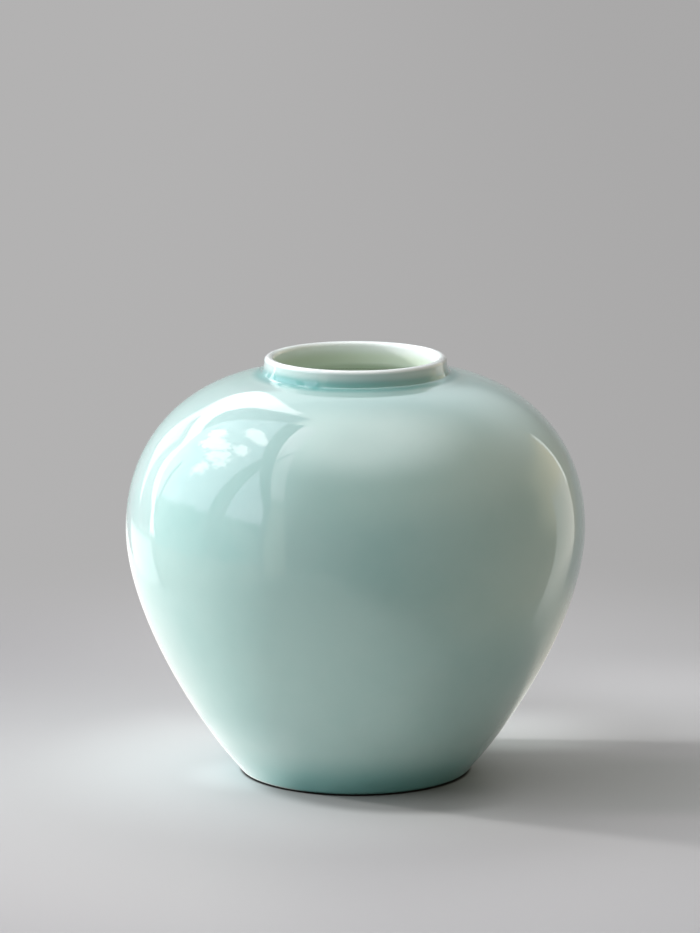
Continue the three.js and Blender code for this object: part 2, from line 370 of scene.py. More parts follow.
def shoulder_wall(place):
    """Thickness of the shoulder beside a point of its outside, as a move inwards."""
    height = place[1]
    ridge = SEAM_RIDGE * max(0, 1 - (height - BELLY_HEIGHT) / SEAM_REACH)
    share = (height - BELLY_HEIGHT) / (shoulder_top[1] - BELLY_HEIGHT)
    swell = share * (WALL_AT_SHOULDER - WALL_AT_BELLY)
    return -(WALL_AT_BELLY + swell + ridge + throwing_rings(height) * (1 - share))


shoulder_top = (COLLAR_RADIUS + COLLAR_FLARE + COLLAR_FILLET, CLAY_HEIGHT - COLLAR_HEIGHT)
shoulder = bezier(
    (BELLY_RADIUS, BELLY_HEIGHT),
    (BELLY_RADIUS, BELLY_HEIGHT + BELLY_PULL_ABOVE),
    (shoulder_top[0] + SHOULDER_PULL * math.cos(SHOULDER_SLOPE),
     shoulder_top[1] - SHOULDER_PULL * math.sin(SHOULDER_SLOPE)),
    shoulder_top,
    WALL_STEPS,
)
shoulder_outside = [place for place in shoulder if place[0] > SEAT_RADIUS]
collar_flange = [place for place in shoulder if place[0] <= SEAT_RADIUS]
shoulder_under = moved(shoulder, shoulder_wall)
seat_inside = next(place for place in shoulder_under if place[0] < SEAT_RADIUS - SEAT_BEVEL)
shoulder_inside = [place for place in shoulder_under if place[0] > seat_inside[0] + LEAST_STEP][::-1]
shoulder_inside[-1] = bowl_inside[0]
upper_body = thrown("upper_body_thrown", [
    *[(radius, height + SLIP) for radius, height in [bowl_inside[0], *belt_joint[::-1]]],
    *shoulder_outside,
    seat_inside,
    *shoulder_inside[:-1],
    (bowl_inside[0][0], bowl_inside[0][1] + SLIP),
])
upper_body.data.materials.append(porcelain)
place_in(upper_body, "upper_body")


# Collar: a short thrown neck with a rolled lip, let into the shoulder on a bevelled flange.
# The lip is rounded with a wet chamois, so it has no edge anywhere.
LIP_THICKNESS = 3.9
NECK_ROUND = 4.6
ROUND_FULLNESS = 0.6
ROUND_STEPS = 10
COLLAR_PULL = 1.8
COLLAR_STEPS = 8
LIP_STEPS = 12

lip_radius = LIP_THICKNESS / 2
lip_centre = (COLLAR_RADIUS - lip_radius, CLAY_HEIGHT - lip_radius)
neck_radius = COLLAR_RADIUS - LIP_THICKNESS
collar_foot = (COLLAR_RADIUS + COLLAR_FLARE, shoulder_top[1] + FILLET_RISE)
collar_fillet = bezier(
    shoulder_top,
    (shoulder_top[0] - COLLAR_FILLET * ROUND_FULLNESS * math.cos(SHOULDER_SLOPE),
     shoulder_top[1] + COLLAR_FILLET * ROUND_FULLNESS * math.sin(SHOULDER_SLOPE)),
    (collar_foot[0], collar_foot[1] - FILLET_RISE * ROUND_FULLNESS),
    collar_foot,
    ROUND_STEPS,
)
collar_wall = bezier(
    collar_foot,
    (collar_foot[0] - COLLAR_FLARE / 3, collar_foot[1] + COLLAR_PULL),
    (COLLAR_RADIUS, lip_centre[1] - COLLAR_PULL),
    (COLLAR_RADIUS, lip_centre[1]),
    COLLAR_STEPS,
)


def lip_roll(start, end):
    """Points round the rolled lip, by angle in degrees from the outside over the crest."""
    turns = [math.radians(start + (end - start) * step / LIP_STEPS) for step in range(LIP_STEPS + 1)]
    return [
        (lip_centre[0] + lip_radius * math.cos(turn), lip_centre[1] + lip_radius * math.sin(turn))
        for turn in turns
    ]


collar_outside = collar_fillet + collar_wall[1:] + lip_roll(0, 90)[1:]
neck_round_top = seat_inside[1] + NECK_ROUND
collar_inside = lip_roll(90, 180)[1:] + bezier(
    (neck_radius, neck_round_top),
    (neck_radius, neck_round_top - NECK_ROUND * ROUND_FULLNESS),
    (seat_inside[0] - (seat_inside[0] - neck_radius) * ROUND_FULLNESS,
     seat_inside[1] + (seat_inside[0] - neck_radius) * ROUND_FULLNESS * math.sin(SHOULDER_SLOPE)),
    seat_inside,
    ROUND_STEPS,
)
neck_collar = thrown("neck_collar_thrown", [
    (collar_flange[0][0] - SLIP, collar_flange[0][1]),
    *collar_flange[1:],
    *collar_outside[1:],
    *collar_inside[:-1],
    (seat_inside[0] - SLIP, seat_inside[1]),
    (collar_flange[0][0] - SLIP, collar_flange[0][1]),
])
neck_collar.data.materials.append(porcelain)
place_in(neck_collar, "neck_collar")


# Outer glaze: a clear blue-green coat, from a rounded roll above the bare foot to the lip.
# It drains thin and white over the crest, and pools deep teal in the angle of the collar.
GLAZE = 0.6
GLAZE_AT_LIP = 0.25
DRAIN_POWER = 0.6
GLAZE_POOL = 0.4
POOL_DROP = 0.8
POOL_REACH = 1.6
POOL_WIDTH = 3
GLAZE_EDGE = 0.12
EDGE_RISE = 1.1
GLAZE_ROLL = 0.25
ROLL_HEIGHT = 1.4
ROLL_REACH = 1.5
BOND = 0.02
CELADON_THIN = (0.86, 0.9, 0.88)
CELADON_BODY = (0.37, 0.545, 0.505)
CELADON_POOLED = (0.16, 0.385, 0.36)
CELADON_THIN_REACH = 0.003
# Tone of the painted glow: a faint light that a glaze gives off itself.
PAINTED_GLOW_TONE = (0.68, 0.8, 0.58)
RIPPLE = 0.12
RIPPLE_HEIGHT = 0.0005


def near(value, centre, reach):
    """A bell that is 1 at its centre and all but 0 at twice its reach."""
    return math.exp(-((value - centre) / reach) ** 2)


def outer_coat(place):
    """Thickness of the outer glaze over a point of the clay."""
    radius, height = place
    if height < FOOT_HEIGHT:
        start = min(1, (height - BARE_EDGE) / EDGE_RISE)
        roll = GLAZE_ROLL * near(height, BARE_EDGE + ROLL_HEIGHT, ROLL_REACH)
        return GLAZE_EDGE + (GLAZE - GLAZE_EDGE) * math.sin(start * math.pi / 2) + roll
    drained = max(0, min(1, (height - collar_foot[1]) / (CLAY_HEIGHT - collar_foot[1])))
    pooled = 0
    if radius < shoulder_top[0] + POOL_WIDTH:
        pooled = GLAZE_POOL * near(height, collar_foot[1] - POOL_DROP, POOL_REACH)
    return GLAZE + (GLAZE_AT_LIP - GLAZE) * drained ** DRAIN_POWER + pooled


clay_outside = lower_wall + shoulder[1:] + collar_outside[1:]
glaze_skin = moved(clay_outside, outer_coat)
glaze_skin[-1] = (lip_centre[0], CLAY_HEIGHT + GLAZE_AT_LIP)
under_glaze = moved(clay_outside, BOND)
outer_glaze = thrown("outer_glaze_coat", [*glaze_skin, *under_glaze[::-1], glaze_skin[0]])

# Glaze depth, for all three coats: thin at the lip, clouded over the body, deep where it pools.
# Radii and heights are in metres, each pair from where an effect starts to where it is full.
POOL_RADII = (0.0508, 0.0455)
POOL_RISE = (0.1865, 0.1915)
POOL_FALL = (0.1978, 0.1928)
# Deeper colour towards the bottom: glaze pooled by the foot, partly painted shade where the vase meets
# the table.
FOOT_POOL_AND_PAINTED_SHADE = (0.026, 0.002)
FOOT_POOL_AND_PAINTED_SHADE_SHARE = 0.95
CLOUD_SHARE = 0.5
CLOUD_LEVEL = -0.21
LIP_CREST = 0.2001
LIP_FACE = (0.1935, 0.1975)
LIP_FACE_SHARE = 0.28

glaze_depth = bpy.data.node_groups.new("glaze_depth", "ShaderNodeTree")
for label in ("Thin", "Body", "Pooled"):
    glaze_depth.interface.new_socket(label, in_out="INPUT", socket_type="NodeSocketColor")
glaze_depth.interface.new_socket("Thin Reach", in_out="INPUT", socket_type="NodeSocketFloat")
glaze_depth.interface.new_socket("Colour", in_out="OUTPUT", socket_type="NodeSocketColor")
glaze_depth.interface.new_socket("Height", in_out="OUTPUT", socket_type="NodeSocketFloat")
depth_in = glaze_depth.nodes.new("NodeGroupInput")
depth_out = glaze_depth.nodes.new("NodeGroupOutput")
depth_place = glaze_depth.nodes.new("ShaderNodeTexCoord").outputs["Object"]
depth_axes = add_node(glaze_depth, "ShaderNodeSeparateXYZ", Vector=depth_place)
depth_z = depth_axes.outputs["Z"]
across_x = reckon(glaze_depth, "POWER", depth_axes.outputs["X"], 2.0)
across_y = reckon(glaze_depth, "POWER", depth_axes.outputs["Y"], 2.0)
depth_radius = reckon(glaze_depth, "SQRT", reckon(glaze_depth, "ADD", across_x, across_y))
depth_cloud = add_node(
    glaze_depth, "ShaderNodeTexNoise",
    Vector=depth_place, Scale=24.0, Detail=3.0, Roughness=0.55,
)
near_collar = fade(glaze_depth, depth_radius, *POOL_RADII)
rise_collar = fade(glaze_depth, depth_z, *POOL_RISE)
fall_collar = fade(glaze_depth, depth_z, *POOL_FALL)
collar_pool = reckon(glaze_depth, "MULTIPLY", rise_collar, fall_collar)
collar_pool = reckon(glaze_depth, "MULTIPLY", near_collar, collar_pool)
foot_pool_and_painted_shade = reckon(glaze_depth, "MULTIPLY", fade(glaze_depth, depth_z, *FOOT_POOL_AND_PAINTED_SHADE), FOOT_POOL_AND_PAINTED_SHADE_SHARE)
pool = reckon(glaze_depth, "MAXIMUM", collar_pool, foot_pool_and_painted_shade)
cloud = reckon(glaze_depth, "MULTIPLY_ADD", depth_cloud.outputs["Fac"], CLOUD_SHARE, CLOUD_LEVEL)
cloudy_pool = reckon(glaze_depth, "ADD", pool, cloud)
pool_share = add_node(glaze_depth, "ShaderNodeClamp", Value=cloudy_pool).outputs[0]
thin_from = reckon(glaze_depth, "SUBTRACT", LIP_CREST, depth_in.outputs["Thin Reach"])
thin_share = fade(glaze_depth, depth_z, thin_from, LIP_CREST)
face_share = reckon(glaze_depth, "MULTIPLY", fade(glaze_depth, depth_z, *LIP_FACE), LIP_FACE_SHARE)
thin_share = reckon(glaze_depth, "MAXIMUM", thin_share, face_share)
deep = blend(glaze_depth, pool_share, depth_in.outputs["Body"], depth_in.outputs["Pooled"])
drained_tone = blend(glaze_depth, thin_share, deep, depth_in.outputs["Thin"])
glaze_depth.links.new(drained_tone, depth_out.inputs["Colour"])
depth_skin = add_node(glaze_depth, "ShaderNodeTexNoise", Vector=depth_place, Scale=55.0, Detail=1.0)
glaze_depth.links.new(depth_skin.outputs["Fac"], depth_out.inputs["Height"])


def glaze_finish(name, thin, body, pooled, thin_reach, painted_glow=0.0):
    """A glossy glaze on the glaze depth: a satin depth under a clear surface.

    Painted glow is the strength of a faint glow that the glaze gives off itself, painted light that
    stands for light coming through the thin wall.
    """
    material, tree, shader = new_material(name)
    depth = tree.nodes.new("ShaderNodeGroup")
    depth.node_tree = glaze_depth
    for label, colour in (("Thin", thin), ("Body", body), ("Pooled", pooled)):
        depth.inputs[label].default_value = (*colour, 1)
    depth.inputs["Thin Reach"].default_value = thin_reach
    tree.links.new(depth.outputs["Colour"], shader.inputs["Base Color"])
    shader.inputs["Roughness"].default_value = 0.35
    shader.inputs["IOR"].default_value = 1.5
    shader.inputs["Specular IOR Level"].default_value = 0.1
    shader.inputs["Coat Weight"].default_value = 1.0
    shader.inputs["Coat Roughness"].default_value = 0.0
    shader.inputs["Coat IOR"].default_value = 1.5
    shader.inputs["Subsurface Weight"].default_value = 0.12
    shader.inputs["Subsurface Radius"].default_value = (0.6, 1.0, 0.9)
    shader.inputs["Subsurface Scale"].default_value = 0.004
    shader.inputs["Emission Color"].default_value = (*PAINTED_GLOW_TONE, 1)
    shader.inputs["Emission Strength"].default_value = painted_glow
    bump = add_node(
        tree, "ShaderNodeBump",
        Strength=RIPPLE, Distance=RIPPLE_HEIGHT, Height=depth.outputs["Height"],
    )
    tree.links.new(bump.outputs["Normal"], shader.inputs["Normal"])
    return material


celadon = glaze_finish("celadon_glaze", CELADON_THIN, CELADON_BODY, CELADON_POOLED, CELADON_THIN_REACH)
outer_glaze.data.materials.append(celadon)
place_in(outer_glaze, "outer_glaze")


# Liner glaze: poured in, swilled round and poured out, so it covers the whole inside.
# It is a greener batch, thin over the lip and over the ridges of the throwing rings.
LINER = 0.5
LINER_THIN = (0.8, 0.86, 0.85)
LINER_BODY = (0.57, 0.65, 0.59)
LINER_POOLED = (0.55, 0.64, 0.52)
LINER_THIN_REACH = 0.008
# The liner gives off a faint painted glow, which brightens the inside and stands for light coming through
# the thin porcelain.
LINER_PAINTED_GLOW = 0.095


def liner_coat(place):
    """Thickness of the liner glaze over a point of the clay."""
    drained = max(0, min(1, (place[1] - (CLAY_HEIGHT - 2 * lip_radius)) / (2 * lip_radius)))
    return LINER + (GLAZE_AT_LIP - LINER) * drained


clay_inside = [lip_roll(90, 180)[0], *collar_inside, *shoulder_inside, *bowl_inside[1:], *bowl_floor]
liner_skin = moved(clay_inside, liner_coat)
liner_skin[0] = (lip_centre[0], CLAY_HEIGHT + GLAZE_AT_LIP)
liner_skin[-1] = (0, floor_top - FLOOR_DISH + LINER)
under_liner = moved(clay_inside, BOND)
under_liner[-1] = (0, floor_top - FLOOR_DISH + BOND)
inner_glaze = thrown("inner_glaze_coat", [*under_liner[::-1], *liner_skin])
liner = glaze_finish("liner_glaze", LINER_THIN, LINER_BODY, LINER_POOLED, LINER_THIN_REACH, LINER_PAINTED_GLOW)
inner_glaze.data.materials.append(liner)
place_in(inner_glaze, "inner_glaze")


# Base glaze: the outer coat's celadon, brushed over the recess under the floor. A short skirt of
# it runs down the inside of the foot ring and thins out above the bare land.
BASE_GLAZE = 0.5
BASE_STEPS = 12
HALFWAY_OUT = 0.5
RECESS_PULL = 2.5
RECESS_TURN_IN = 0.7
RECESS_TURN_DOWN = 0.3
SKIRT_COAT = 0.9
SKIRT_END_COAT = 0.6
SKIRT_END_RISE = 0.12

base_crown = FOOT_HEIGHT + RECESS_CROWN
base_glaze = thrown("base_glaze_coat", [
    (0, base_crown - BASE_GLAZE),
    *bezier(
        (recess_top * HALFWAY_OUT, FOOT_HEIGHT + RECESS_CROWN * HALFWAY_OUT - BASE_GLAZE),
        (recess_top - RECESS_PULL, FOOT_HEIGHT - BASE_GLAZE),
        (recess_top - RECESS_TURN_IN, FOOT_HEIGHT - BASE_GLAZE - RECESS_TURN_DOWN),
        (skirt_edge[0] - BASE_GLAZE * SKIRT_COAT, skirt_edge[1] + BASE_GLAZE),
        BASE_STEPS,
    ),
    (skirt_edge[0] - BASE_GLAZE * SKIRT_END_COAT, skirt_edge[1] + SKIRT_END_RISE),
    (skirt_edge[0] - BOND, skirt_edge[1]),
    (recess_top - BOND, FOOT_HEIGHT - BOND),
    (0, base_crown - BOND),
])
base_glaze.data.materials.append(celadon)
place_in(base_glaze, "base_glaze")


# Table and wall: one pale sheet that the vase stands on. Close to the vase it is the lit table,
# and farther off it turns into the plain grey of the wall behind. The glaze mirrors only the table.
SHEET_RADIUS = 9
SHEET_FACETS = 96
TABLE_NEAR = (0.455, 0.44, 0.44)
TABLE_FAR = (0.38, 0.37, 0.37)
TABLE_ROUGHNESS = 0.6
TABLE_SHINE = 0.2
WALL_ON_LEFT = (0.45, 0.445, 0.445)
WALL_ON_RIGHT = (0.4, 0.395, 0.395)
LIT_MIDDLE = (-0.03, -0.1, 0)
# Middles of the painted shade in front of the foot and of the painted light spot beside it.
SHADE_MIDDLE = (0.027, -0.008, 0)
SHADE_SHARE = 0.42
PAINTED_LIGHT_SPOT_MIDDLE = (-0.05, -0.016, 0)

bpy.ops.mesh.primitive_circle_add(
    vertices=SHEET_FACETS, radius=SHEET_RADIUS, fill_type="NGON", location=(0, 0, 0),
)
table = bpy.context.object
table.name = table.data.name = "table_and_wall"
table.select_set(False)
sheet, sheet_tree, sheet_shader = new_material("pale_sheet")
sheet_place = sheet_tree.nodes.new("ShaderNodeTexCoord").outputs["Object"]
sheet_axes = add_node(sheet_tree, "ShaderNodeSeparateXYZ", Vector=sheet_place)
sheet_x, sheet_y = sheet_axes.outputs["X"], sheet_axes.outputs["Y"]


def product(tree, *masks):
    """The product of some masks."""
    result = masks[0]
    for mask in masks[1:]:
        result = reckon(tree, "MULTIPLY", result, mask)
    return result


def largest(tree, *masks):
    """The largest of some masks."""
    result = masks[0]
    for mask in masks[1:]:
        result = reckon(tree, "MAXIMUM", result, mask)
    return result


def on_sheet(*fades):
    """A mask on the sheet, where all the fades overlap: each a value, its start and its end."""
    return product(sheet_tree, *(fade(sheet_tree, *steps) for steps in fades))


def distance_from(middle):
    """How far each point of the sheet lies from another."""
    node = add_node(
        sheet_tree, "ShaderNodeVectorMath", {"operation": "DISTANCE"},
        i0=sheet_place, i1=middle,
    )
    return node.outputs["Value"]


def lay_on_sheet(tone, *patches):
    """Lays patches over a tone one after another: each a mask and its own tone."""
    for mask, patch_tone in patches:
        tone = blend(sheet_tree, mask, tone, patch_tone)
    return tone


sheet_far = distance_from(LIT_MIDDLE)
from_foot = distance_from((0, 0, 0))
forward_left = reckon(sheet_tree, "MULTIPLY_ADD", sheet_y, 0.8, sheet_x)
# Painted light and shade on the table round the vase. Lighter patches to the left, at the front left, in
# a spot beside the foot, behind on the right and just behind the foot stand for light. Darker ones at the
# back left, in the cast shadow and at the foot stand for shade.
painted_light_left_near = on_sheet((sheet_x, 0.02, -0.08), (sheet_far, 0.24, 0.1))
painted_light_front_left = on_sheet((forward_left, 0.03, -0.03), (from_foot, 0.17, 0.085))
painted_light_spot = on_sheet((distance_from(PAINTED_LIGHT_SPOT_MIDDLE), 0.038, 0.012))
painted_shade_left_back = on_sheet((sheet_x, -0.06, -0.22), (sheet_y, 0.04, 0.28))
painted_light_right_back = on_sheet((sheet_x, 0.04, 0.16), (sheet_y, 0.03, 0.07), (sheet_y, 0.26, 0.14))
painted_light_beside_foot = on_sheet(
    (sheet_x, 0.0, 0.04), (sheet_x, 0.15, 0.07), (sheet_y, 0.02, 0.045), (sheet_y, 0.13, 0.07),
)
# Painted shadow: a darker core in the cast shadow, and a near-black contact shadow round the foot and in
# front of it.
shadow_core = on_sheet((sheet_x, 0.06, 0.15), (sheet_y, 0.03, 0.0), (sheet_y, -0.1, -0.07))
shade = on_sheet(
    (distance_from(SHADE_MIDDLE), 0.084, 0.07), (sheet_y, -0.02, -0.045), (sheet_x, 0.08, 0.035),
)
shade = reckon(sheet_tree, "MULTIPLY", shade, SHADE_SHARE)
painted_contact_shadow = largest(sheet_tree, shade, on_sheet((from_foot, 0.0562, 0.054)))
# The table's tone with its painted light and shade laid over it.
sheet_tone = lay_on_sheet(
    blend(sheet_tree, on_sheet((sheet_far, 0.13, 0.33)), TABLE_NEAR, TABLE_FAR),
    (painted_light_left_near, (0.49, 0.475, 0.47)),
    (painted_light_front_left, (0.57, 0.555, 0.55)),
    (painted_light_spot, (0.66, 0.645, 0.64)),
    (painted_shade_left_back, (0.31, 0.3, 0.305)),
    (painted_light_right_back, (0.49, 0.48, 0.48)),
    (painted_light_beside_foot, (0.74, 0.73, 0.73)),
    (shadow_core, (0.37, 0.365, 0.36)),
    (painted_contact_shadow, (0.02, 0.018, 0.017)),
)
sheet_tree.links.new(sheet_tone, sheet_shader.inputs["Base Color"])
sheet_shader.inputs["Roughness"].default_value = TABLE_ROUGHNESS
sheet_shader.inputs["Specular IOR Level"].default_value = TABLE_SHINE
wall_tone = blend(sheet_tree, on_sheet((sheet_x, -0.25, 0.35)), WALL_ON_LEFT, WALL_ON_RIGHT)
wall_glow = add_node(sheet_tree, "ShaderNodeEmission", Color=wall_tone)
sheet_mix = add_node(sheet_tree, "ShaderNodeMixShader", i0=on_sheet((sheet_far, 0.3, 0.6)))
sheet_tree.links.new(sheet_shader.outputs["BSDF"], sheet_mix.inputs[1])
sheet_tree.links.new(wall_glow.outputs["Emission"], sheet_mix.inputs[2])

# In the glaze, the table shows its lit tone off the foot, brightest at the back left, and is open
# past its edges
TABLE_LEFT = -0.29
TABLE_FRONT = -0.62
TABLE_RIGHT = 0.24
TABLE_SKEW = -0.56
LEFT_SOFT = 0.01
FRONT_SOFT = 0.06
RIGHT_SOFT = (0.1, 0.05)
MIRRORED_NEAR = (1.4, 1.5, 1.42)
MIRRORED_FAR = (0.65, 0.64, 0.6)
MIRRORED_RIGHT = (0.68, 0.65, 0.58)

sheet_rays = sheet_tree.nodes.new("ShaderNodeLightPath")
mirrored_shadow = on_sheet(
    (sheet_y, -0.14, -0.08), (sheet_y, 0.08, 0.03), (sheet_x, 0.02, 0.08), (sheet_x, 0.24, 0.13),
)
bright_corner = on_sheet((sheet_x, -0.04, -0.12), (sheet_y, -0.12, 0.08))
by_foot = on_sheet((sheet_x, -0.02, -0.055), (from_foot, 0.115, 0.085))
far_back = on_sheet((reckon(sheet_tree, "MULTIPLY_ADD", sheet_x, 0.8, sheet_y), 0.28, 0.5))
mirrored_table = lay_on_sheet(
    blend(sheet_tree, on_sheet((from_foot, 0.1, 0.36)), MIRRORED_NEAR, MIRRORED_FAR),
    (on_sheet((sheet_x, 0.0, 0.15)), MIRRORED_RIGHT),
    (mirrored_shadow, (0.38, 0.37, 0.34)),
    (bright_corner, (1.3, 1.25, 1.22)),
    (by_foot, (1.35, 1.35, 1.33)),
    (far_back, (0.42, 0.42, 0.42)),
)
table_glow = add_node(sheet_tree, "ShaderNodeEmission", Color=mirrored_table)
off_foot = largest(sheet_tree, bright_corner, by_foot, on_sheet((from_foot, 0.055, 0.12)))
seen_table = add_node(
    sheet_tree, "ShaderNodeMixShader",
    i0=product(sheet_tree, sheet_rays.outputs["Is Glossy Ray"], off_foot),
)
sheet_tree.links.new(sheet_mix.outputs["Shader"], seen_table.inputs[1])
sheet_tree.links.new(table_glow.outputs["Emission"], seen_table.inputs[2])
slanted_side = reckon(sheet_tree, "MULTIPLY_ADD", sheet_y, TABLE_SKEW, sheet_x)
past_left = on_sheet((sheet_x, TABLE_LEFT + LEFT_SOFT, TABLE_LEFT - LEFT_SOFT))
past_front = on_sheet((sheet_y, TABLE_FRONT + FRONT_SOFT, TABLE_FRONT - FRONT_SOFT))
past_right = on_sheet((slanted_side, TABLE_RIGHT - RIGHT_SOFT[0], TABLE_RIGHT + RIGHT_SOFT[1]))
past_table = largest(sheet_tree, past_left, past_front, past_right)
open_sheet = add_node(
    sheet_tree, "ShaderNodeMixShader",
    i0=product(sheet_tree, sheet_rays.outputs["Is Glossy Ray"], past_table),
)
clear_sheet = sheet_tree.nodes.new("ShaderNodeBsdfTransparent")
sheet_tree.links.new(seen_table.outputs["Shader"], open_sheet.inputs[1])
sheet_tree.links.new(clear_sheet.outputs["BSDF"], open_sheet.inputs[2])
sheet_tree.links.new(open_sheet.outputs["Shader"], sheet_tree.nodes["Material Output"].inputs["Surface"])
table.data.materials.append(sheet)


# Key light: one small lamp a good way off, left of the vase, a little behind it and above its lip.
# It casts the soft-edged shadow to the right. The glaze doesn't mirror it.
LAMP_DISTANCE = 2.2
LAMP_BEARING = math.radians(105)
LAMP_RISE = math.radians(13.5)
LAMP_AIM = 0.1
LAMP_SIZE = 0.15
LAMP_POWER = 42

lamp_place = (
    -LAMP_DISTANCE * math.cos(LAMP_RISE) * math.sin(LAMP_BEARING),
    -LAMP_DISTANCE * math.cos(LAMP_RISE) * math.cos(LAMP_BEARING),
    LAMP_DISTANCE * math.sin(LAMP_RISE) + LAMP_AIM,
)
bpy.ops.object.light_add(type="AREA", location=lamp_place)
key_lamp = bpy.context.object
key_lamp.name = "key_lamp"
key_lamp.rotation_euler = (math.pi / 2 - LAMP_RISE, 0, -LAMP_BEARING)
key_lamp.data.shape = "SQUARE"
key_lamp.data.size = LAMP_SIZE
key_lamp.data.energy = LAMP_POWER
key_lamp.visible_glossy = False
key_lamp.select_set(False)


# Studio: the soft light that clay and table get from all round, and the panels that the glaze
# mirrors. On the left is a tall arched panel with bars across it and white bays behind, on the
# right a dim one. Bearings go from the front round by the left, rises up from level, in degrees.
SHOWN_TONE = (0.44, 0.44, 0.44)
SIDE_SEAM = 0.002
LEAST_LEVEL = 0.001

studio = bpy.data.worlds.new("studio")
bpy.context.scene.world = studio
studio.use_nodes = True
round_about = studio.node_tree
towards = round_about.nodes.new("ShaderNodeTexCoord").outputs["Generated"]
to_right, to_back, to_up = add_node(round_about, "ShaderNodeSeparateXYZ", Vector=towards).outputs
to_left = reckon(round_about, "MULTIPLY", to_right, -1.0)
to_front = reckon(round_about, "MULTIPLY", to_back, -1.0)
bearing = reckon(round_about, "DEGREES", reckon(round_about, "ARCTAN2", to_left, to_front))
rise = reckon(round_about, "DEGREES", reckon(round_about, "ARCSINE", to_up))


def step_at(value, start, end):
    """A smooth step in the studio, 0 at start and 1 at end."""
    return fade(round_about, value, start, end)


def both(*masks):
    """Where all of some masks in the studio overlap."""
    return product(round_about, *masks)


def either(*masks):
    """Where any of some masks in the studio is."""
    return largest(round_about, *masks)


def between(value, low, high, soft):
    """1 between two values, with soft edges."""
    return both(step_at(value, low - soft, low + soft), step_at(value, high + soft, high - soft))


def without(mask, *others):
    """A mask less some others."""
    return both(mask, reckon(round_about, "SUBTRACT", 1.0, either(*others)))


def over(share, below, above):
    """Lays one tone over another."""
    return blend(round_about, share, below, above)


def sides(front, back, left, right):
    """A tone that goes round by bearing, between the tones of the four sides."""
    level = reckon(round_about, "SUBTRACT", 1.0, reckon(round_about, "POWER", to_up, 2.0))
    level = reckon(round_about, "MAXIMUM", level, LEAST_LEVEL)
    sideways = reckon(round_about, "DIVIDE", reckon(round_about, "POWER", to_right, 2.0), level)
    lengthways = over(step_at(to_back, -SIDE_SEAM, SIDE_SEAM), front, back)
    across = over(step_at(to_right, -SIDE_SEAM, SIDE_SEAM), left, right)
    return over(sideways, lengthways, across)


def layers(low, high, overhead):
    """A tone that goes up, from the low sides over the high sides to the top."""
    return over(step_at(rise, 45.0, 80.0), over(step_at(rise, 5.0, 40.0), low, high), overhead)


soft_light = layers(
    sides((0.5, 0.53, 0.45), (0.8, 0.76, 0.7), (0.95, 1.05, 1.2), (0.1, 0.08, 0.06)),
    sides((0.05, 0.05, 0.05), (0.8, 0.85, 0.85), (3.3, 3.4, 3.7), (0.35, 0.33, 0.3)),
    (0.42, 0.41, 0.39),
)
brighter_left = both(between(bearing, 52.0, 96.0, 14.0), between(rise, 4.0, 38.0, 8.0))
soft_light = over(brighter_left, soft_light, (3.0, 3.1, 3.2))
plain_sides = layers(
    sides((0.1, 0.1, 0.1), (0.3, 0.3, 0.3), (0.9, 0.78, 0.75), (1.0, 0.8, 0.6)),
    sides((0.9, 0.85, 0.65), (1.65, 1.8, 1.85), (0.8, 0.86, 0.9), (1.55, 1.25, 0.95)),
    (4.9, 4.8, 4.6),
)

# The arched panel as a flat wall on the left: how far back and how high each direction meets it
flat_left = reckon(round_about, "MAXIMUM", to_left, 0.01)
wall_back = reckon(round_about, "DIVIDE", to_back, flat_left)
wall_up = reckon(round_about, "DIVIDE", to_up, flat_left)
on_left = step_at(to_left, 0.02, 0.1)


def arch_line(side, corner_back, corner_up, slope, curve):
    """How far outside an arch edge a direction lies: an upright side that bends into a slope."""
    upright = reckon(round_about, "MULTIPLY_ADD", wall_back, -1.0, side)
    lean = reckon(round_about, "MULTIPLY_ADD", wall_back, -slope, corner_back * slope - corner_up)
    sloping = reckon(round_about, "ADD", wall_up, lean)
    sloping = reckon(round_about, "DIVIDE", sloping, math.hypot(1, slope))
    return reckon(round_about, "SMOOTH_MAX", upright, sloping, curve)


EDGE_RISES = (-15.0, 75.0)
EDGE_BEARINGS = (110.0, 180.0)
EDGE_SOFT = 0.012


def past_edge(soft, *places):
    """1 past an edge that bends: a smooth curve through places, each a rise and a bearing."""
    low_rise, low_bearing = EDGE_RISES[0], EDGE_BEARINGS[0]
    rise_span = EDGE_RISES[1] - low_rise
    bearing_span = EDGE_BEARINGS[1] - low_bearing
    curve_node = add_node(
        round_about, "ShaderNodeFloatCurve",
        Value=reckon(round_about, "MULTIPLY_ADD", rise, 1 / rise_span, -low_rise / rise_span),
    )
    curve = curve_node.mapping.curves[0]
    curve.points[0].location = (0, (places[0][1] - low_bearing) / bearing_span)
    curve.points[1].location = (1, (places[-1][1] - low_bearing) / bearing_span)
    for at_rise, at_bearing in places:
        curve.points.new((at_rise - low_rise) / rise_span, (at_bearing - low_bearing) / bearing_span)
    for point in curve.points:
        point.handle_type = "AUTO_CLAMPED"
    curve_node.mapping.update()
    edge = reckon(round_about, "MULTIPLY_ADD", curve_node.outputs[0], bearing_span, low_bearing)
    return step_at(reckon(round_about, "SUBTRACT", bearing, edge), -soft, soft)


inner_edge = arch_line(-0.87, -0.39, 1.13, 1.18, 0.15)
outer_edge = arch_line(-0.97, -0.5, 1.4, 1.5, 0.15)
strip_edge = arch_line(-1.46, -1.04, 1.21, 1.93, 0.5)
past_pane = past_edge(
    0.5,
    (-10, 118), (-4, 120), (8, 124), (15, 127), (23, 129),
    (28, 131), (36, 137.5), (43, 141), (51, 142), (66, 142),
)
past_pillar = past_edge(0.6, (33, 141), (34, 146), (37, 152), (43, 156), (57, 156))
past_bays = past_edge(
    0.7,
    (-8, 138), (0, 142), (5, 145), (9, 150), (15, 152), (21, 154),
    (24, 157), (27, 170), (33, 169), (44, 165), (56, 161),
)
past_gap_front = past_edge(0.5, (-2, 124), (4, 128), (14, 133), (24, 134), (26, 142), (27, 149))
past_gap_back = past_edge(0.5, (0, 139), (8, 140), (21, 139), (23, 145), (24, 148), (26.5, 150))

